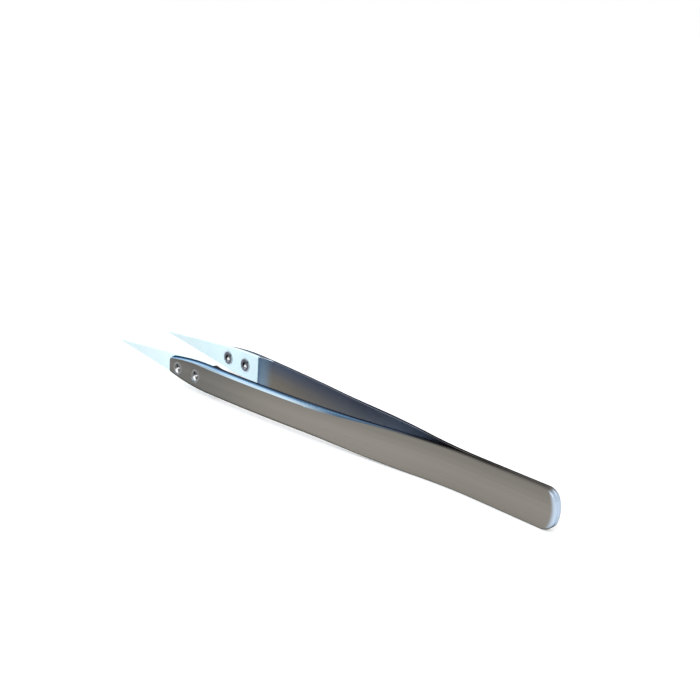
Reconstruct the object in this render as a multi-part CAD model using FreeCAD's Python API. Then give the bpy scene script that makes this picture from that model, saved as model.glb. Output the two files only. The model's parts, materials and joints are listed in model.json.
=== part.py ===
import FreeCAD, Part
import math
import os

# Tweezers with two spring arms of stainless steel and replaceable ceramic points.
# X runs from the welded end to the points, Y across the opening, Z across the width of the arms.
# They stand on the lower long edges of the arms, with the origin in the middle of the footprint.
# The shapes are made with X counted from the welded end and Z from the middle of the width.

# Lengths along the tweezers, from the welded end
overall_length = 130.0
arm_length = 107.5
weld_length = 19.0
root_bend_length = 15.0
spring_length = 30.0

# Plan shape of an arm
spread_angle = 9.6
front_angle = 0.2
root_thickness = 1.0
body_thickness = 1.35

# Width of an arm, seen from the side
handle_width = 8.2
front_width = 6.9
nose_width = 4.2
taper_start = 28.0
taper_length = 36.0
nose_length = 14.0
end_bulge_radius = 7.0
end_corner_radius = 2.8
nose_corner_bevel = 0.5

# Edges of an arm, whose outer rounding grows from the welded end to the front
rear_edge_radius = 0.5
front_edge_radius = 1.05
inner_edge_bevel = 0.08

# Seat of the ceramic point on the inner side of an arm
seat_length = 14.8
seat_web = 1.3
shoulder_land = 0.6
shoulder_ramp_radius = 12.0
seat_gap = 0.05

# Ceramic point
ceramic_thickness = 0.9
ceramic_width = 6.5
ceramic_straight = 1.0
ceramic_full_thickness = 16.0
ceramic_blend_share = 3.0
point_width = 0.32
point_thickness = 0.32
ceramic_edge_bevel = 0.1

# Screws, two through each arm, placed by shares of the seat's length from its rear end
front_screw_share = 0.787
rear_screw_share = 0.335
screw_diameter = 1.6
screw_head_diameter = 3.2
head_recess = 0.06
hole_clearance = 0.1
cross_span = 1.9
cross_foot_span = 0.9
cross_width = 0.42
cross_depth = 0.6
cross_turn = 25.0

# Round nuts, one on each screw
nut_diameter = 3.4
nut_thickness = 0.7
nut_proud = 0.1
nut_clearance = 0.02
nut_slot_width = 0.5
nut_slot_depth = 0.3
nut_slot_turn = 40.0

# Blanks and cutters run past the face that they meet by this much
overrun = 1.0
# Turned solids have their seam at this angle, clear of the middle plane of the width
seam_turn = 37.0
# Two places closer than this are the same place
same_place = 1e-3

# Values that follow from the sizes above
spread = math.radians(spread_angle)
front = math.radians(front_angle)
bow_start = weld_length + root_bend_length
root_radius = root_bend_length / math.sin(spread)
bow_radius = (arm_length - bow_start) / (math.sin(spread) - math.sin(front))
root_centre_y = root_thickness + root_radius
bow_centre_x = bow_start + bow_radius * math.sin(spread)
bow_centre_y = root_centre_y - (root_radius + bow_radius) * math.cos(spread)
seat_depth = seat_web + ceramic_thickness
head_foot = (screw_diameter - screw_head_diameter) / 2 - head_recess
screw_places = {
    "front": seat_length * (front_screw_share - 0.5),
    "rear": seat_length * (rear_screw_share - 0.5),
}


def vec(x, y, z=0.0):
    return FreeCAD.Vector(x, y, z)


def line(start, end):
    return Part.makeLine(start, end)


def arc(curve, first, last):
    """Arc along a curve that is given as a function of an angle."""
    return Part.Arc(curve(first), curve((first + last) / 2), curve(last)).toShape()


def face(edges):
    return Part.Face(Part.Wire(Part.__sortEdges__(edges)))


def below(edges):
    """The same edges on the other side of the middle of the width."""
    return [edge.mirror(vec(0, 0), vec(0, 0, 1)) for edge in edges]


def root_point(angle, depth=0.0):
    """Point on the root bend, at a depth inwards of the outer face."""
    reach = root_radius + depth
    return vec(weld_length + reach * math.sin(angle), root_centre_y - reach * math.cos(angle))


def bow_point(angle, depth=0.0):
    """Point on the long bow, at a depth inwards of the outer face."""
    reach = bow_radius - depth
    return vec(bow_centre_x - reach * math.sin(angle), bow_centre_y + reach * math.cos(angle))


def bow_angle(x):
    """Direction of the bow's outer face where it passes x."""
    return math.asin((bow_centre_x - x) / bow_radius)


def outer_y(x):
    """Distance of the outer face from the mirror plane where it passes x."""
    if x < weld_length:
        return root_thickness
    if x < bow_start:
        return root_centre_y - math.sqrt(root_radius**2 - (x - weld_length) ** 2)
    return bow_centre_y + math.sqrt(bow_radius**2 - (x - bow_centre_x) ** 2)


# The seat has its own frame: X along the arm, Y outwards with 0 on the outer face, Z as above
seat_angle = bow_angle(arm_length - seat_length / 2)
seat_origin = bow_point(seat_angle)
seat_frame = FreeCAD.Placement(seat_origin, FreeCAD.Rotation(vec(0, 0, 1), math.degrees(seat_angle)))


def seat_point(along, depth):
    return seat_frame.multVec(vec(along, -depth))


def shoulder_ramp():
    """The hollow ramp behind the ceramic, and the bow's direction at its foot."""
    top = seat_point(-seat_length / 2 - shoulder_land, seat_depth)
    reach = bow_radius - body_thickness - shoulder_ramp_radius
    to_top = vec(top.x - bow_centre_x, top.y - bow_centre_y)
    cosine = (reach**2 + to_top.Length**2 - shoulder_ramp_radius**2) / (2 * reach * to_top.Length)
    foot_angle = math.atan2(-to_top.x, to_top.y) + math.acos(cosine)
    centre = bow_point(foot_angle, body_thickness + shoulder_ramp_radius)
    foot = bow_point(foot_angle, body_thickness)
    halfway = (foot - centre).normalize() + (top - centre).normalize()
    middle = centre + halfway.normalize() * shoulder_ramp_radius
    return Part.Arc(top, middle, foot).toShape(), top, foot_angle


def spring_curve(body_angle):
    """Inner side of the spring, where the arm thickens from its root to its body."""
    start = root_point(spread, root_thickness)
    end = bow_point(body_angle, body_thickness)
    handle = (end - start).Length / 3
    leaving = start + vec(math.cos(spread), math.sin(spread)) * handle
    arriving = end - vec(math.cos(body_angle), math.sin(body_angle)) * handle
    curve = Part.BezierCurve()
    curve.setPoles([start, leaving, arriving, end])
    return curve.toShape()


def arm_plan():
    """Outline of an arm seen from above, from the weld to a little past its front end."""
    ramp, ramp_top, foot_angle = shoulder_ramp()
    body_angle = bow_angle(bow_start + spring_length)
    past_front = bow_angle(arm_length + overrun)
    floor_front = seat_point(seat_length / 2 + overrun, seat_web)
    floor_rear = seat_point(-seat_length / 2, seat_web)
    shoulder_top = seat_point(-seat_length / 2, seat_depth)
    return face([
        line(vec(0, 0), vec(0, root_thickness)),
        line(vec(0, root_thickness), root_point(0.0)),
        arc(root_point, 0.0, spread),
        arc(bow_point, spread, past_front),
        line(bow_point(past_front), floor_front),
        line(floor_front, floor_rear),
        line(floor_rear, shoulder_top),
        line(shoulder_top, ramp_top),
        ramp,
        arc(lambda angle: bow_point(angle, body_thickness), foot_angle, body_angle),
        spring_curve(body_angle),
        arc(lambda angle: root_point(angle, root_thickness), spread, 0.0),
        line(vec(weld_length, 0), vec(0, 0)),
    ])


def arm_upper_outline():
    """Upper edge of an arm seen from the side, after its two ends."""
    half = handle_width / 2
    front_half = front_width / 2

    # A rounded corner that runs smoothly into the bulged end
    corner_z = half - end_corner_radius
    bulge_reach = math.sqrt((end_bulge_radius - end_corner_radius) ** 2 - corner_z**2)
    corner_x = end_bulge_radius - bulge_reach
    lean = math.atan2(corner_z, bulge_reach)

    def corner(angle):
        return vec(corner_x - end_corner_radius * math.cos(angle), 0,
                   corner_z + end_corner_radius * math.sin(angle))

    # Two arcs, one each way, that narrow the handle to the front
    drop = half - front_half
    taper_end = taper_start + taper_length
    taper_radius = (taper_length**2 + drop**2) / (4 * drop)
    taper_turn = math.asin(taper_length / 2 / taper_radius)

    def leave_handle(angle):
        return vec(taper_start + taper_radius * math.sin(angle), 0,
                   half - taper_radius * (1 - math.cos(angle)))

    def reach_front(angle):
        return vec(taper_end - taper_radius * math.sin(angle), 0,
                   front_half + taper_radius * (1 - math.cos(angle)))

    # One arc that narrows the nose
    nose_drop = front_half - nose_width / 2
    nose_radius = (nose_length**2 + nose_drop**2) / (2 * nose_drop)
    nose_turn = math.asin((nose_length - nose_corner_bevel) / nose_radius)
    nose_start = arm_length - nose_length

    def nose(angle):
        return vec(nose_start + nose_radius * math.sin(angle), 0,
                   front_half - nose_radius * (1 - math.cos(angle)))

    nose_end = nose(nose_turn)
    front_top = vec(arm_length, 0, nose_end.z - nose_corner_bevel)

    return corner(lean), front_top, [
        arc(corner, lean, math.pi / 2),
        line(corner(math.pi / 2), leave_handle(0.0)),
        arc(leave_handle, 0.0, taper_turn),
        arc(reach_front, taper_turn, 0.0),
        line(reach_front(0.0), nose(0.0)),
        arc(nose, 0.0, nose_turn),
        line(nose_end, front_top),
    ]


def arm_side():
    """Outline of an arm seen from the side, as a block through the whole depth of the arm."""
    touch, front_top, upper = arm_upper_outline()
    ends = [
        Part.Arc(touch, vec(0, 0), vec(touch.x, 0, -touch.z)).toShape(),
        line(front_top, vec(front_top.x, 0, -front_top.z)),
    ]
    depth = bow_point(front).y + 2 * overrun
    block = face(upper + below(upper) + ends).extrude(vec(0, depth, 0))
    block.translate(vec(0, -overrun))
    return block


def rim_edges(half, outer_side):
    """The edges along the outer face of the upper half of an arm, or those along its inner side."""
    chosen = []
    for edge in half.Edges:
        middle = edge.valueAt((edge.FirstParameter + edge.LastParameter) / 2)
        on_outer_face = abs(outer_y(middle.x) - middle.y) < same_place
        runs_along = edge.BoundBox.XLength > seat_gap
        if runs_along and middle.z > same_place and on_outer_face == outer_side:
            chosen.append(edge)
    return chosen


def growing_edge(half):
    """The outer edge along the later half of the taper, where the rounding grows to the front."""
    start = taper_start + taper_length / 2
    return [
        edge for edge in rim_edges(half, True)
        if abs(min(corner.X for corner in edge.Vertexes) - start) < same_place
    ]


def turned(along, profile):
    """A solid turned round a screw's axis, from pairs of radius and height above the outer face."""
    points = [vec(along + radius, height) for radius, height in profile]
    outline = Part.Face(Part.makePolygon(points + points[:1]))
    outline.rotate(vec(along, 0), vec(0, 1, 0), seam_turn)
    return outline.revolve(vec(along, 0), vec(0, 1, 0), 360)


def screw_hole(along):
    """Cutter for the web of an arm: a clearance hole under a right-angled countersink."""
    radius = screw_diameter / 2 + hole_clearance
    cone_low = head_foot + hole_clearance
    return turned(along, [
        (0, -seat_web - overrun),
        (radius, -seat_web - overrun),
        (radius, cone_low),
        (radius + overrun - cone_low, overrun),
        (0, overrun),
    ])


def nut_pocket(along):
    """Cutter for the ceramic: the nut's pocket over a clearance hole."""
    radius = screw_diameter / 2 + hole_clearance
    pocket_radius = nut_diameter / 2 + nut_clearance
    pocket_floor = nut_thickness - nut_proud - seat_depth
    return turned(along, [
        (0, -seat_depth - overrun),
        (pocket_radius, -seat_depth - overrun),
        (pocket_radius, pocket_floor),
        (radius, pocket_floor),
        (radius, overrun),
        (0, overrun),
    ])


def make_arm():
    """One arm: the plan outline crossed with the side outline, as an upper half that is bevelled
    and rounded, then doubled and drilled. The rounding given to one edge runs on along the rest."""
    blank = arm_plan().extrude(vec(0, 0, handle_width)).common(arm_side()).removeSplitter()
    half = blank.makeChamfer(inner_edge_bevel, rim_edges(blank, False))
    half = half.makeFillet(rear_edge_radius, front_edge_radius, growing_edge(half))
    arm = half.fuse(half.mirror(vec(0, 0), vec(0, 0, 1))).removeSplitter()
    return arm.cut([seated(screw_hole(along)) for along in screw_places.values()])


def ceramic_side(tip):
    """The ceramic seen from the side: a straight tail, a short blend and a long straight taper."""
    half = ceramic_width / 2
    rear = seat_gap - seat_length / 2
    bend = rear + ceramic_straight
    run = tip - bend
    blend_radius = ceramic_blend_share * run
    rise = blend_radius - half + point_width / 2
    taper = math.asin(blend_radius / math.hypot(run, rise)) - math.atan2(rise, run)

    def blend(angle):
        return vec(bend + blend_radius * math.sin(angle), 0,
                   half - blend_radius * (1 - math.cos(angle)))

    tip_top = vec(tip, 0, point_width / 2)
    rear_top = vec(rear, 0, half)
    upper = [line(rear_top, blend(0.0)), arc(blend, 0.0, taper), line(blend(taper), tip_top)]
    ends = [line(rear_top, vec(rear, 0, -half)), line(tip_top, vec(tip, 0, -point_width / 2))]
    block = face(upper + below(upper) + ends).extrude(vec(0, seat_depth + 2 * overrun, 0))
    block.translate(vec(0, -seat_depth - overrun))
    return block


def ceramic_plan(tip):
    """The ceramic seen from above: flat on its inner face, tapered on its outer face."""
    rear = seat_gap - seat_length / 2
    corners = [
        vec(rear, -seat_depth),
        vec(tip, -seat_depth),
        vec(tip, point_thickness - seat_depth),
        vec(ceramic_full_thickness - seat_length / 2, -seat_web),
        vec(rear, -seat_web),
    ]
    plate = Part.Face(Part.makePolygon(corners + corners[:1])).extrude(vec(0, 0, ceramic_width + overrun))
    plate.translate(vec(0, 0, -(ceramic_width + overrun) / 2))
    return plate


def make_ceramic_point():
    """One ceramic point, in the seat's frame, with its screw holes and nut pockets."""
    tip = (overall_length - seat_origin.x - seat_depth * math.sin(seat_angle)) / math.cos(seat_angle)
    blank = ceramic_plan(tip).common(ceramic_side(tip)).removeSplitter()
    point = blank.makeChamfer(ceramic_edge_bevel, blank.Edges)
    return point.cut([nut_pocket(along) for along in screw_places.values()])


def cross_wing(along, turn):
    """One wing of the cross recess, narrower at its foot than at its mouth."""
    foot = -head_recess - cross_depth
    mouth_half = cross_span / 2
    foot_half = cross_foot_span / 2
    outline = Part.makePolygon([
        vec(-mouth_half, 0), vec(mouth_half, 0), vec(foot_half, foot), vec(-foot_half, foot),
        vec(-mouth_half, 0),
    ])
    wing = Part.Face(outline).extrude(vec(0, 0, cross_width))
    wing.translate(vec(0, 0, -cross_width / 2))
    wing.rotate(vec(0, 0), vec(0, 1, 0), turn)
    wing.translate(vec(along, 0))
    return wing


def make_screw(along):
    """Countersunk cross-recess screw, from its head in the web to its end in the nut."""
    end = nut_slot_depth - nut_proud - seat_depth
    screw = turned(along, [
        (0, end),
        (screw_diameter / 2, end),
        (screw_diameter / 2, head_foot),
        (screw_head_diameter / 2, -head_recess),
        (0, -head_recess),
    ])
    return screw.cut([cross_wing(along, cross_turn), cross_wing(along, cross_turn + 90.0)])


def make_nut(along):
    """Round nut with a driver slot, seated in the pocket of the ceramic."""
    top = -seat_depth - nut_proud
    nut = turned(along, [
        (screw_diameter / 2, top),
        (nut_diameter / 2, top),
        (nut_diameter / 2, top + nut_thickness),
        (screw_diameter / 2, top + nut_thickness),
    ])
    slot = Part.makeBox(nut_diameter + overrun, nut_slot_depth + overrun, nut_slot_width,
                        vec(-(nut_diameter + overrun) / 2, -overrun, -nut_slot_width / 2))
    slot.rotate(vec(0, 0), vec(0, 1, 0), nut_slot_turn)
    slot.translate(vec(along, top))
    return nut.cut(slot)


def seated(shape):
    """The same shape moved from the seat's frame to the left arm."""
    moved = shape.copy()
    moved.Placement = seat_frame.multiply(moved.Placement)
    return moved


def write(name, shape):
    """Set a solid in the part's own frame and write it as one file."""
    placed = shape.Solids[0].copy()
    placed.translate(vec(-overall_length / 2, 0, handle_width / 2))
    placed.exportStep("parts/" + name + ".step")
    print(name, placed.isValid(), len(shape.Solids), round(placed.Volume, 3))


os.makedirs("parts", exist_ok=True)
pieces = {"arm": make_arm(), "ceramic_point": seated(make_ceramic_point())}
for place, along in screw_places.items():
    pieces[place + "_screw"] = seated(make_screw(along))
    pieces[place + "_nut"] = seated(make_nut(along))
for piece, shape in pieces.items():
    write("left_" + piece, shape)
    write("right_" + piece, shape.mirror(vec(0, 0), vec(0, 1, 0)))
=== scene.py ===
import json
import math

import bpy
from mathutils import Matrix, Vector


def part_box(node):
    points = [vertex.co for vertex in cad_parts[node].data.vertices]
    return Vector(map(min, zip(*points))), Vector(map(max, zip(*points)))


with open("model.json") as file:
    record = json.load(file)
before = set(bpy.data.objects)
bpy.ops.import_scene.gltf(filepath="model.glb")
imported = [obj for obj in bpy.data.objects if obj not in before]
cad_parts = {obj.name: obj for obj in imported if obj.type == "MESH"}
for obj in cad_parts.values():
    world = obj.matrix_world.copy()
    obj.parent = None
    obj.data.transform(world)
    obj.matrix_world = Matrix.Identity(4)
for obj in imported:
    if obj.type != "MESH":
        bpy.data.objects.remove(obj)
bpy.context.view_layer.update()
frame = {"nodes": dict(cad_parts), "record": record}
nodes = frame["nodes"]
bpy.ops.object.select_all(action="DESELECT")
print("frame loaded:", len(nodes), "nodes")


# Shader building, shared by all materials

def newMaterial(name):
    material = bpy.data.materials.new(name)
    material.use_nodes = True
    tree = material.node_tree
    tree.nodes.clear()
    output = tree.nodes.new("ShaderNodeOutputMaterial")
    shader = tree.nodes.new("ShaderNodeBsdfPrincipled")
    tree.links.new(shader.outputs["BSDF"], output.inputs["Surface"])
    return material, tree, shader


def addNode(tree, kind, settings=None, inputs=None):
    node = tree.nodes.new(kind)
    for name, value in (settings or {}).items():
        setattr(node, name, value)
    for name, value in (inputs or {}).items():
        if isinstance(value, bpy.types.NodeSocket):
            tree.links.new(value, node.inputs[name])
        else:
            node.inputs[name].default_value = value
    return node


def calculate(tree, operation, *values):
    node = addNode(tree, "ShaderNodeMath", {"operation": operation}, dict(enumerate(values)))
    return node.outputs[0]


def splitVector(tree, vector):
    return addNode(tree, "ShaderNodeSeparateXYZ", None, {0: vector}).outputs


def surfaceNormal(tree):
    return splitVector(tree, addNode(tree, "ShaderNodeNewGeometry").outputs["Normal"])


def mixColours(tree, factor, first, second):
    inputs = {0: factor, 6: first, 7: second}  # the colour sockets of a Mix node
    return addNode(tree, "ShaderNodeMix", {"data_type": "RGBA"}, inputs).outputs[2]


def scaleColour(tree, colour, factor):
    inputs = {0: colour, "Scale": factor}
    return addNode(tree, "ShaderNodeVectorMath", {"operation": "SCALE"}, inputs).outputs[0]


def rangeTo(tree, value, limits, results=(0.0, 1.0)):
    inputs = {"Value": value, "From Min": limits[0], "From Max": limits[1],
              "To Min": results[0], "To Max": results[1]}
    node = addNode(tree, "ShaderNodeMapRange", {"interpolation_type": "SMOOTHSTEP"}, inputs)
    return node.outputs["Result"]


def newGroup(name, inputs, outputs):
    group = bpy.data.node_groups.new(name, "ShaderNodeTree")
    for socketName, kind, value in inputs:
        socket = group.interface.new_socket(socketName, in_out="INPUT", socket_type=kind)
        socket.default_value = value
    for socketName in outputs:
        group.interface.new_socket(socketName, in_out="OUTPUT", socket_type="NodeSocketFloat")
    return group, group.nodes.new("NodeGroupInput"), group.nodes.new("NodeGroupOutput")


def useGroup(tree, group, inputs):
    return addNode(tree, "ShaderNodeGroup", {"node_tree": group}, inputs)


def middleOf(node):
    low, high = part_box(node)
    return (low + high) / 2


# Fine brushing: long thin streaks along X, as a height and as a soft shade

brushingSettings = {
    "streakLength": 0.03,
    "streakWidth": 0.00006,
    "fineDetail": 3.0,
    "fineRoughness": 0.6,
    "fineShare": 0.6,
    "broadScale": 0.13,
    "broadDetail": 2.0,
}


def makeBrushing():
    group, given, result = newGroup("brushing", [
        ("Position", "NodeSocketVector", (0.0, 0.0, 0.0)),
        ("Streak Length", "NodeSocketFloat", brushingSettings["streakLength"]),
        ("Streak Width", "NodeSocketFloat", brushingSettings["streakWidth"]),
    ], ["Height", "Shade"])
    place = splitVector(group, given.outputs["Position"])
    along = calculate(group, "DIVIDE", place["X"], given.outputs["Streak Length"])
    across = calculate(group, "DIVIDE", place["Z"], given.outputs["Streak Width"])
    stretched = addNode(group, "ShaderNodeCombineXYZ", None, {"X": along, "Z": across}).outputs[0]
    fine = addNode(group, "ShaderNodeTexNoise", None, {
        "Vector": stretched, "Scale": 1.0, "Detail": brushingSettings["fineDetail"],
        "Roughness": brushingSettings["fineRoughness"]}).outputs["Fac"]
    broad = addNode(group, "ShaderNodeTexNoise", None, {
        "Vector": stretched, "Scale": brushingSettings["broadScale"],
        "Detail": brushingSettings["broadDetail"]}).outputs["Fac"]
    shade = calculate(group, "MULTIPLY_ADD", fine, brushingSettings["fineShare"], broad)
    group.links.new(fine, result.inputs["Height"])
    group.links.new(shade, result.inputs["Shade"])
    return group


# Hand marks: soft clouds in the gloss of every finish

handlingSettings = {"cloudSize": 0.009, "detail": 3.0}


def makeHandling():
    group, given, result = newGroup("handling", [
        ("Position", "NodeSocketVector", (0.0, 0.0, 0.0)),
        ("Cloud Size", "NodeSocketFloat", handlingSettings["cloudSize"]),
    ], ["Clouds"])
    scale = calculate(group, "DIVIDE", 1.0, given.outputs["Cloud Size"])
    clouds = addNode(group, "ShaderNodeTexNoise", None, {
        "Vector": given.outputs["Position"], "Scale": scale, "Detail": handlingSettings["detail"]})
    group.links.new(clouds.outputs["Fac"], result.inputs["Clouds"])
    return group


brushing = makeBrushing()
handling = makeHandling()


# Arms: satin steel, brushed lengthwise, with painted reflection and shade in their colour. The polished
# upper edges carry a painted blue reflection at the front, where the rounding also carries a painted
# highlight band, and a painted dark reflection along the handle.
# A pair is a range: of X or Z in metres, or of one direction of the surface normal

armFinish = {
    # Outer faces: painted reflection, lighter in the middle, and painted shade under the upper edge
    "frontFace": (0.155, 0.149, 0.139, 1.0),
    "middleFace": (0.232, 0.215, 0.190, 1.0),
    "handleFace": (0.218, 0.202, 0.179, 1.0),
    "handleToMiddle": (-0.045, -0.015),
    "middleToFront": (0.0, 0.035),
    "upperShade": 0.78,
    "upperShadeHeights": (0.0042, 0.0074),

    # Inner faces: painted reflection, bluer upwards, with painted shade towards the root, a painted
    # highlight on the shoulder's ramp and a painted shadow line at the seat
    "innerNormal": (0.2, 0.6),
    "innerMiddle": (0.140, 0.148, 0.158, 1.0),
    "innerFront": (0.176, 0.160, 0.138, 1.0),
    "innerToFront": (-0.01, 0.022),
    "innerBlue": (0.099, 0.116, 0.158, 1.0),
    "innerBlueHeights": (0.0025, 0.0075),
    "innerDeep": (0.180, 0.222, 0.295, 1.0),
    "innerToDeep": (-0.008, -0.026),
    "innerRootShade": (0.070, 0.062, 0.058, 1.0),
    "innerToRoot": (-0.028, -0.040),
    "shoulderRampHighlight": (0.17, 0.235, 0.31, 1.0),
    "shoulderRamp": (0.0230, 0.0264),
    "seatShadow": (0.105, 0.165, 0.25, 1.0),
    "seatStart": (0.0265, 0.0276),

    # Upper edges ahead of the root: painted blue and dark reflections, and a painted highlight band
    "edgeBlueReflection": (0.075, 0.135, 0.215, 1.0),
    "edgeTop": (0.072, 0.088, 0.115, 1.0),
    "edgeTopNormal": (0.90, 0.99),
    "edgeTopRearward": (-0.016, -0.027),
    "edgeGrey": (0.080, 0.084, 0.096, 1.0),
    "edgeGreyNormal": (0.2, 0.5),
    "edgeHighlight": (0.66, 0.86, 1.0, 1.0),
    "edgeHighlightNormal": (0.60, 0.92),
    "edgeHighlightStart": (-0.013, 0.005),
    "edgeHighlightToNose": (0.018, 0.027),
    "edgeHighlightAtNose": 0.58,

    # Upper edges along the handle: painted reflection, with painted shade at the root
    "heelEdge": (0.14, 0.133, 0.123, 1.0),
    "gripEdge": (0.075, 0.071, 0.065, 1.0),
    "heelToGrip": (-0.060, -0.046),
    "rootEdgeShade": (0.032, 0.031, 0.033, 1.0),
    "gripToRoot": (-0.043, -0.034),
    "rootToFront": (-0.035, -0.025),

    # Shoulder tops: a painted pale highlight on the far arm, a painted warm highlight on the near arm
    "farShoulderHighlight": (0.45, 0.51, 0.57, 1.0),
    "nearShoulderHighlight": (0.22, 0.18, 0.16, 1.0),
    "shoulderInside": (0.0071, 0.0068),
    "shoulderStart": (0.0225, 0.024),

    "edgeWidens": (-0.030, -0.010),
    "edgeLeastNormal": (0.45, 0.16),
    "edgeNormalSpan": (0.30, 0.14),
    "edgeNarrows": (0.026, 0.040),
    "edgeNarrowing": 0.30,
    # Painted shade on the nose's end faces
    "noseEndShade": (0.07, 0.085, 0.11, 1.0),
    "noseEndNormal": (0.3, 0.7),

    # Painted highlight band along the rear end
    "endHighlight": (0.47, 0.57, 0.69, 1.0),
    "endHighlightWidth": 0.0012,
    "endBulgeRadius": 0.007,
    # Painted shade on the downward-facing lower edges
    "lowerEdgeShade": (0.100, 0.094, 0.084, 1.0),
    "lowerEdgeNormal": (-0.25, -0.70),

    "grazing": (0.22, 0.22, 0.24, 1.0),
    "streakShades": (0.3, 1.0),
    "streakDepth": 0.08,
    "streakStrength": 0.10,
    "streakRelief": 0.00002,
    "faceRoughness": 0.33,
    "edgeRoughness": 0.18,
    "cloudRoughness": 0.08,
}


# Painted reflection, lighter in the middle of the arm, and painted shade, darker under the upper edge
def outerFaceTone(tree, place):
    rear = mixColours(tree, rangeTo(tree, place["X"], armFinish["handleToMiddle"]),
                      armFinish["handleFace"], armFinish["middleFace"])
    evenly = mixColours(tree, rangeTo(tree, place["X"], armFinish["middleToFront"]),
                        rear, armFinish["frontFace"])
    shaded = rangeTo(tree, place["Z"], armFinish["upperShadeHeights"], (1.0, armFinish["upperShade"]))
    return scaleColour(tree, evenly, shaded)


# Painted reflection, bluer towards the upper edge; painted shade, dark towards the root; a painted
# highlight on the shoulder's ramp and a painted shadow line at the seat
def innerFaceTone(tree, place):
    tone = mixColours(tree, rangeTo(tree, place["X"], armFinish["innerToFront"]),
                      armFinish["innerMiddle"], armFinish["innerFront"])
    tone = mixColours(tree, rangeTo(tree, place["Z"], armFinish["innerBlueHeights"]),
                      tone, armFinish["innerBlue"])
    stretches = (("innerToDeep", "innerDeep"), ("innerToRoot", "innerRootShade"),
                 ("shoulderRamp", "shoulderRampHighlight"), ("seatStart", "seatShadow"))
    for stretch, colour in stretches:
        tone = mixColours(tree, rangeTo(tree, place["X"], armFinish[stretch]), tone, armFinish[colour])
    return tone


# Ahead of the root: a painted blue reflection, darker on the flat top and towards the rear, greyer on the
# inner bevel, with a painted highlight band on the near rounding
def frontEdgeTone(tree, place, normal, side, inward):
    flat = calculate(tree, "MAXIMUM", rangeTo(tree, normal["Z"], armFinish["edgeTopNormal"]),
                     rangeTo(tree, place["X"], armFinish["edgeTopRearward"]))
    tone = mixColours(tree, flat, armFinish["edgeBlueReflection"], armFinish["edgeTop"])
    tone = mixColours(tree, rangeTo(tree, inward, armFinish["edgeGreyNormal"]),
                      tone, armFinish["edgeGrey"])
    rounded = rangeTo(tree, calculate(tree, "MINIMUM", normal["Y"], side), armFinish["edgeHighlightNormal"])
    fading = calculate(tree, "MULTIPLY", rangeTo(tree, place["X"], armFinish["edgeHighlightStart"]),
                       rangeTo(tree, place["X"], armFinish["edgeHighlightToNose"],
                               (1.0, armFinish["edgeHighlightAtNose"])))
    return mixColours(tree, calculate(tree, "MULTIPLY", rounded, fading), tone, armFinish["edgeHighlight"])


# Along the handle, painted reflection and shade: lightest at the heel, darkest at the root
def rearEdgeTone(tree, place):
    grip = mixColours(tree, rangeTo(tree, place["X"], armFinish["heelToGrip"]),
                      armFinish["heelEdge"], armFinish["gripEdge"])
    return mixColours(tree, rangeTo(tree, place["X"], armFinish["gripToRoot"]),
                      grip, armFinish["rootEdgeShade"])


# The shoulder's top: a painted pale highlight on the far arm and a painted warm highlight on the near arm
def shoulderTopTone(tree, place, side, edge):
    inside = rangeTo(tree, calculate(tree, "ABSOLUTE", place["Y"]), armFinish["shoulderInside"])
    onShoulder = calculate(tree, "MULTIPLY", inside,
                           rangeTo(tree, place["X"], armFinish["shoulderStart"]))
    top = mixColours(tree, side, armFinish["farShoulderHighlight"], armFinish["nearShoulderHighlight"])
    return mixColours(tree, onShoulder, edge, top)


# The edge's tones reach further down the side where the rounding has grown, and less at the nose
def upperEdgeMask(tree, place, normal):
    widening = rangeTo(tree, place["X"], armFinish["edgeWidens"])
    least = calculate(tree, "ADD", rangeTo(tree, widening, (0.0, 1.0), armFinish["edgeLeastNormal"]),
                      rangeTo(tree, place["X"], armFinish["edgeNarrows"],
                              (0.0, armFinish["edgeNarrowing"])))
    most = calculate(tree, "ADD", least,
                     rangeTo(tree, widening, (0.0, 1.0), armFinish["edgeNormalSpan"]))
    return rangeTo(tree, normal["Z"], (least, most))


# A soft painted highlight band that follows the rear end's bulge
def endHighlightMask(tree, place):
    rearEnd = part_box("left_arm")[0].x
    fromMiddle = calculate(tree, "SUBTRACT", place["Z"], middleOf("left_arm").z)
    bulge = calculate(tree, "DIVIDE", calculate(tree, "MULTIPLY", fromMiddle, fromMiddle),
                      2 * armFinish["endBulgeRadius"])
    depth = calculate(tree, "SUBTRACT", calculate(tree, "SUBTRACT", place["X"], rearEnd), bulge)
    return rangeTo(tree, depth, (armFinish["endHighlightWidth"], 0.0))


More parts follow.
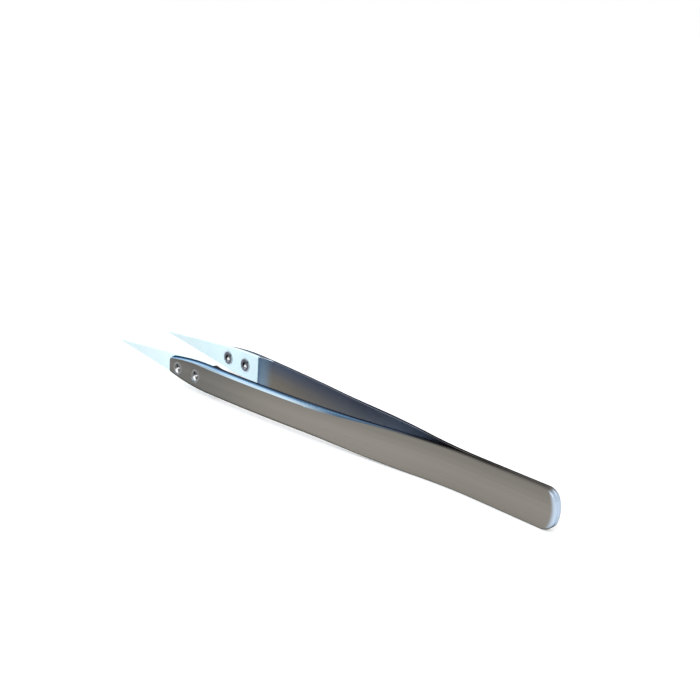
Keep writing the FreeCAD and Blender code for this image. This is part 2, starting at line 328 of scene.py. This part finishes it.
def makeArmSteel():
    material, tree, shader = newMaterial("brushedArmSteel")
    position = addNode(tree, "ShaderNodeTexCoord").outputs["Object"]
    streaks = useGroup(tree, brushing, {"Position": position})
    marks = useGroup(tree, handling, {"Position": position})
    place, normal = splitVector(tree, position), surfaceNormal(tree)
    side = calculate(tree, "SIGN", place["Y"])
    inward = calculate(tree, "MULTIPLY", calculate(tree, "MULTIPLY", side, normal["Y"]), -1.0)

    plain = mixColours(tree, rangeTo(tree, inward, armFinish["innerNormal"]),
                       outerFaceTone(tree, place), innerFaceTone(tree, place))
    streakDepth = armFinish["streakDepth"]
    face = scaleColour(tree, plain, rangeTo(tree, streaks.outputs["Shade"], armFinish["streakShades"],
                                            (1.0 - streakDepth, 1.0 + streakDepth)))

    atFront = rangeTo(tree, place["X"], armFinish["rootToFront"])
    edge = mixColours(tree, atFront, rearEdgeTone(tree, place),
                      frontEdgeTone(tree, place, normal, side, inward))
    edge = shoulderTopTone(tree, place, side, edge)
    upward = upperEdgeMask(tree, place, normal)
    # The nose's end faces carry painted shade
    noseEndShade = calculate(tree, "MULTIPLY", rangeTo(tree, normal["X"], armFinish["noseEndNormal"]), atFront)
    colour = mixColours(tree, upward, face, edge)
    colour = mixColours(tree, noseEndShade, colour, armFinish["noseEndShade"])
    colour = mixColours(tree, endHighlightMask(tree, place), colour, armFinish["endHighlight"])

    # The lower edges carry painted shade and are matt, not metallic
    downward = rangeTo(tree, normal["Z"], armFinish["lowerEdgeNormal"])
    colour = mixColours(tree, downward, colour, armFinish["lowerEdgeShade"])
    tree.links.new(colour, shader.inputs["Base Color"])
    tree.links.new(calculate(tree, "SUBTRACT", 1.0, downward), shader.inputs["Metallic"])
    shader.inputs["Specular IOR Level"].default_value = 0.0
    shader.inputs["Specular Tint"].default_value = armFinish["grazing"]

    polish = rangeTo(tree, upward, (0.0, 1.0), (armFinish["faceRoughness"], armFinish["edgeRoughness"]))
    rough = calculate(tree, "MULTIPLY_ADD", marks.outputs["Clouds"], armFinish["cloudRoughness"], polish)
    tree.links.new(rough, shader.inputs["Roughness"])
    bump = addNode(tree, "ShaderNodeBump", None, {
        "Strength": armFinish["streakStrength"], "Distance": armFinish["streakRelief"],
        "Height": streaks.outputs["Height"]})
    tree.links.new(bump.outputs["Normal"], shader.inputs["Normal"])
    return material


# Ceramic points: white zirconia, slightly bluish and glossy

pointFinish = {
    # Painted light and shade along the point: the seat lighter and bluer than the tip
    "tipTone": (0.615, 0.75, 0.78, 1.0),
    "seatTone": (0.75, 0.93, 1.0, 1.0),
    "seatToTip": (0.034, 0.058),
    "cloudSize": 0.006,
    "cloudLevels": (0.3, 0.7),
    "cloudDepth": 0.05,
    "cloudRoughness": 0.1,
    "roughness": 0.25,
}


def makePointCeramic():
    material, tree, shader = newMaterial("whitePointCeramic")
    position = addNode(tree, "ShaderNodeTexCoord").outputs["Object"]
    place = splitVector(tree, position)
    marks = useGroup(tree, handling, {"Position": position, "Cloud Size": pointFinish["cloudSize"]})
    clouds = marks.outputs["Clouds"]
    # Painted light and shade: the seat is lighter and bluer than the tip
    toned = mixColours(tree, rangeTo(tree, place["X"], pointFinish["seatToTip"]),
                       pointFinish["seatTone"], pointFinish["tipTone"])
    depth = rangeTo(tree, clouds, pointFinish["cloudLevels"], (1.0 - pointFinish["cloudDepth"], 1.0))
    tree.links.new(scaleColour(tree, toned, depth), shader.inputs["Base Color"])
    rough = calculate(tree, "MULTIPLY_ADD", clouds, pointFinish["cloudRoughness"],
                      pointFinish["roughness"])
    tree.links.new(rough, shader.inputs["Roughness"])
    return material


# Screws and nuts: turned steel, with painted shade inside their recesses and on their steep walls, a
# painted rim line (shade on the screws, highlight on the nuts) and one painted highlight spot

# The ring is the steel's own tone; the rest is painted: shade inside the recess and on its steep walls, a
# rim line that is shade on the screws and highlight on the nuts, and a highlight spot
screwFinish = {
    "ring": (0.20, 0.195, 0.19, 1.0),
    "rimShadeAndHighlight": (0.11, 0.11, 0.115, 1.0),
    "inside": (0.085, 0.09, 0.098, 1.0),
    "wallShade": (0.04, 0.042, 0.048, 1.0),
    "glint": (0.85, 0.85, 0.85, 1.0),
    "insideRadius": 0.00105,
    "rimRadius": 0.00148,
    "glintPlace": (0.0002, -0.0006),
    "glintRadius": 0.0008,
    "roughness": 0.2,
}
nutFinish = {
    "ring": (0.105, 0.11, 0.135, 1.0),
    "rimShadeAndHighlight": (0.60, 0.70, 0.78, 1.0),
    "inside": (0.035, 0.035, 0.045, 1.0),
    "wallShade": (0.02, 0.02, 0.025, 1.0),
    "glint": (0.34, 0.36, 0.40, 1.0),
    "insideRadius": 0.00085,
    "rimRadius": 0.0015,
    "glintPlace": (0.0, -0.00075),
    "glintRadius": 0.00045,
    "roughness": 0.25,
}
turnedSteel = {
    "cloudSize": 0.0008,
    "cloudRoughness": 0.12,
    "insideSoftness": 0.1,
    "rimSoftness": 0.03,
    "wallNormal": (0.8, 0.5),
    "glintCore": 0.5,
}


def distanceTo(tree, first, second, place):
    shifted = [calculate(tree, "SUBTRACT", value, centre)
               for value, centre in zip((first, second), place)]
    squares = [calculate(tree, "MULTIPLY", value, value) for value in shifted]
    return calculate(tree, "SQRT", calculate(tree, "ADD", *squares))


# Both screws of an arm share one pattern, counted from the nearer screw's axis
def fromScrewAxis(tree, place):
    front, rear = middleOf("left_front_screw"), middleOf("left_rear_screw")
    fromMiddle = calculate(tree, "SUBTRACT", place["X"], (front.x + rear.x) / 2)
    toAxis = calculate(tree, "MULTIPLY", calculate(tree, "SIGN", fromMiddle), (front.x - rear.x) / 2)
    along = calculate(tree, "SUBTRACT", fromMiddle, toAxis)
    return along, calculate(tree, "SUBTRACT", place["Z"], front.z)


def makeFastenerSteel(name, finish):
    material, tree, shader = newMaterial(name)
    position = addNode(tree, "ShaderNodeTexCoord").outputs["Object"]
    marks = useGroup(tree, handling, {"Position": position, "Cloud Size": turnedSteel["cloudSize"]})
    along, above = fromScrewAxis(tree, splitVector(tree, position))
    radius = distanceTo(tree, along, above, (0.0, 0.0))
    glint = distanceTo(tree, along, above, finish["glintPlace"])

    # Painted shade inside the recess
    softness = turnedSteel["insideSoftness"]
    inside = rangeTo(tree, radius, (finish["insideRadius"] * (1 + softness),
                                    finish["insideRadius"] * (1 - softness)))
    colour = mixColours(tree, inside, finish["ring"], finish["inside"])
    # Painted rim line: shade on the screws, highlight on the nuts
    softness = turnedSteel["rimSoftness"]
    atRim = rangeTo(tree, radius, (finish["rimRadius"] * (1 - softness),
                                   finish["rimRadius"] * (1 + softness)))
    colour = mixColours(tree, atRim, colour, finish["rimShadeAndHighlight"])
    # Painted shade on the steep recess walls
    steep = rangeTo(tree, calculate(tree, "ABSOLUTE", surfaceNormal(tree)["Y"]),
                    turnedSteel["wallNormal"])
    colour = mixColours(tree, steep, colour, finish["wallShade"])
    # A painted highlight spot
    glintMask = rangeTo(tree, glint, (finish["glintRadius"], finish["glintRadius"] * turnedSteel["glintCore"]))
    tree.links.new(mixColours(tree, glintMask, colour, finish["glint"]), shader.inputs["Base Color"])
    shader.inputs["Metallic"].default_value = 1.0
    rough = calculate(tree, "MULTIPLY_ADD", marks.outputs["Clouds"], turnedSteel["cloudRoughness"],
                      finish["roughness"])
    tree.links.new(rough, shader.inputs["Roughness"])
    return material


materials = {
    "arm_steel": makeArmSteel(),
    "point_ceramic": makePointCeramic(),
    "screw_steel": makeFastenerSteel("brightScrewSteel", screwFinish),
    "nut_steel": makeFastenerSteel("darkNutSteel", nutFinish),
}
for part in frame["record"]["subparts"]:
    piece = nodes[part["node"]]
    piece.data.materials.clear()
    piece.data.materials.append(materials[part["material_slot"]])
print("materials:", len(materials))


# Floor, world and lamps

stageSettings = {
    "floorSize": 6.0,
    "floorColour": (0.75, 0.75, 0.75, 1.0),
    "floorRoughness": 0.9,
    "floorWhite": 0.38,
    "white": (1.0, 1.0, 1.0, 1.0),
    "worldStrength": 1.0,
}
lampSettings = {
    "window": {"place": (0.9, 0.25, 0.7), "size": 0.6, "power": 2.0, "colour": (0.86, 0.93, 1.0)},
    "softFill": {"place": (-0.3, 0.8, 0.75), "size": 0.8, "power": 4.5, "colour": (0.86, 0.94, 1.0)},
}


def makeFloor():
    bpy.ops.mesh.primitive_plane_add(size=stageSettings["floorSize"], location=(0, 0, 0))
    floor = bpy.context.object
    floor.name = "floor"
    material, tree, shader = newMaterial("paleFloor")
    shader.inputs["Base Color"].default_value = stageSettings["floorColour"]
    shader.inputs["Roughness"].default_value = stageSettings["floorRoughness"]
    shader.inputs["Specular IOR Level"].default_value = 0.0
    # White to the camera and in reflections, under the object's own soft shadow
    paths = addNode(tree, "ShaderNodeLightPath").outputs
    shown = calculate(tree, "MAXIMUM", paths["Is Camera Ray"], paths["Is Glossy Ray"])
    shown = calculate(tree, "MAXIMUM", shown, paths["Is Transmission Ray"])
    shader.inputs["Emission Color"].default_value = stageSettings["white"]
    tree.links.new(calculate(tree, "MULTIPLY", shown, stageSettings["floorWhite"]),
                   shader.inputs["Emission Strength"])
    floor.data.materials.append(material)
    bpy.ops.object.select_all(action="DESELECT")


def makeWorld():
    world = bpy.data.worlds.new("studio")
    bpy.context.scene.world = world
    world.use_nodes = True
    tree = world.node_tree
    tree.nodes.clear()
    white = addNode(tree, "ShaderNodeBackground", None, {
        "Color": stageSettings["white"], "Strength": stageSettings["worldStrength"]})
    output = addNode(tree, "ShaderNodeOutputWorld")
    tree.links.new(white.outputs[0], output.inputs["Surface"])


# Each lamp is a soft disc that shines at the middle of the object's footprint
def addLamp(name, settings):
    lamp = bpy.data.lights.new(name, "AREA")
    lamp.shape = "DISK"
    lamp.size = settings["size"]
    lamp.energy = settings["power"]
    lamp.color = settings["colour"]
    holder = bpy.data.objects.new(name, lamp)
    bpy.context.scene.collection.objects.link(holder)
    holder.location = settings["place"]
    holder.rotation_euler = Vector(settings["place"]).to_track_quat("Z", "Y").to_euler()


# Camera at the photograph's viewing angle: angles in degrees, lengths in metres

cameraSettings = {
    "aim": Vector((0.0, 0.0, 0.004)),
    "distance": 0.261,
    "azimuth": 225.6,
    "elevation": 16.87,
    "roll": 3.72,
    "offset": (0.00713, 0.0129),
    "focalPixels": 1208.0,
    "imagePixels": 700.0,
    "sensorWidth": 36.0,
    "clipStart": 0.01,
}


def makeCamera():
    turn = math.radians(cameraSettings["azimuth"])
    lift = math.radians(cameraSettings["elevation"])
    roll = math.radians(cameraSettings["roll"])
    back = Vector((math.sin(turn) * math.cos(lift), -math.cos(turn) * math.cos(lift), math.sin(lift)))
    level = Vector((math.cos(turn), math.sin(turn), 0.0))
    upright = back.cross(level)
    right = level * math.cos(roll) + upright * math.sin(roll)
    up = upright * math.cos(roll) - level * math.sin(roll)
    place = (cameraSettings["aim"] + back * cameraSettings["distance"]
             + right * cameraSettings["offset"][0] + up * cameraSettings["offset"][1])
    data = bpy.data.cameras.new("photoCamera")
    data.sensor_width = cameraSettings["sensorWidth"]
    data.lens = cameraSettings["focalPixels"] * data.sensor_width / cameraSettings["imagePixels"]
    data.clip_start = cameraSettings["clipStart"]
    camera = bpy.data.objects.new("photoCamera", data)
    bpy.context.scene.collection.objects.link(camera)
    camera.matrix_world = Matrix((
        (right.x, up.x, back.x, place.x),
        (right.y, up.y, back.y, place.y),
        (right.z, up.z, back.z, place.z),
        (0.0, 0.0, 0.0, 1.0),
    ))
    bpy.context.scene.camera = camera


makeFloor()
makeWorld()
for lampName, lampValues in lampSettings.items():
    addLamp(lampName, lampValues)
makeCamera()
bpy.context.scene.view_settings.view_transform = "Standard"
print("stage ready")

bpy.context.view_layer.update()
